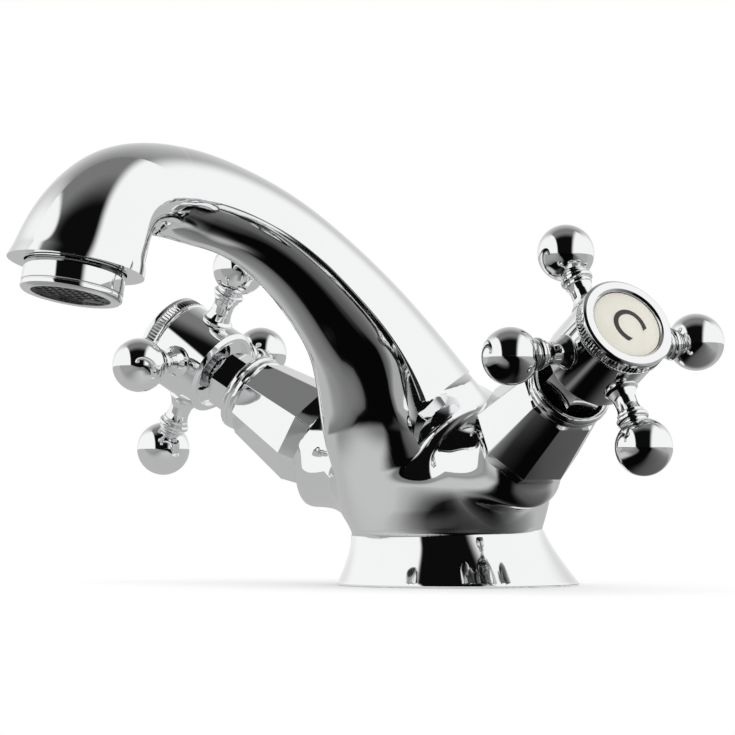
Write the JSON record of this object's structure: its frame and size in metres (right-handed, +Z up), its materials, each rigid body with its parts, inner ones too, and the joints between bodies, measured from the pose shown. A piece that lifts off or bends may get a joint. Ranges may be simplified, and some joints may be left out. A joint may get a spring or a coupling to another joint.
{
  "type": "basin mixer",
  "caption": "Chromed monobloc basin mixer with an arched fixed spout, aerator nose, faceted valve shrouds and ball-ended cross handles on a flared round base.",
  "frame": {"origin": "centre of the round base on the deck plane", "axes": "+Z up, -Y along the spout, +X to the cold handle"},
  "size_m": [0.1642, 0.1547, 0.0951],
  "materials": {
    "chrome": "polished",
    "brass": "turned",
    "steel": "drawn",
    "rubber": "moulded",
    "ceramic": "lapped alumina",
    "porcelain": "glazed",
    "plastic": "moulded"
  },
  "bodies": {
    "body": {"mixer_body": "chrome", "base_seal": "rubber", "aerator_housing": "chrome", "aerator_insert": "plastic", "aerator_screen": "steel", "aerator_washer": "rubber", "cold_shroud": "chrome", "cold_bonnet": "chrome", "cold_bonnet_seal": "rubber", "cold_seat_seal": "rubber", "cold_fixed_disc": "ceramic", "hot_shroud": "chrome", "hot_bonnet": "chrome", "hot_bonnet_seal": "rubber", "hot_seat_seal": "rubber", "hot_fixed_disc": "ceramic"},
    "cold_handle": {"cold_moving_disc": "ceramic", "cold_spindle": "brass", "cold_spindle_seal": "rubber", "cold_circlip": "steel", "cold_hub": "chrome", "cold_index_ring": "chrome", "cold_index_disc": "porcelain", "cold_handle_screw": "steel", "cold_arm_1": "chrome", "cold_arm_2": "chrome", "cold_arm_3": "chrome", "cold_arm_4": "chrome"},
    "hot_handle": {"hot_moving_disc": "ceramic", "hot_spindle": "brass", "hot_spindle_seal": "rubber", "hot_circlip": "steel", "hot_hub": "chrome", "hot_index_ring": "chrome", "hot_index_disc": "porcelain", "hot_handle_screw": "steel", "hot_arm_1": "chrome", "hot_arm_2": "chrome", "hot_arm_3": "chrome", "hot_arm_4": "chrome"}
  },
  "joints": [
    {"name": "cold_handle_turn", "type": "hinge", "parent": "body", "child": "cold_handle", "pos_m": [0, -0.00405, 0.0135], "axis": [-0.8384, 0.2168, -0.5], "range_deg": [0, 90]},
    {"name": "hot_handle_turn", "type": "hinge", "parent": "body", "child": "hot_handle", "pos_m": [0, -0.00405, 0.0135], "axis": [-0.8384, -0.2168, 0.5], "range_deg": [0, 90]}
  ]
}
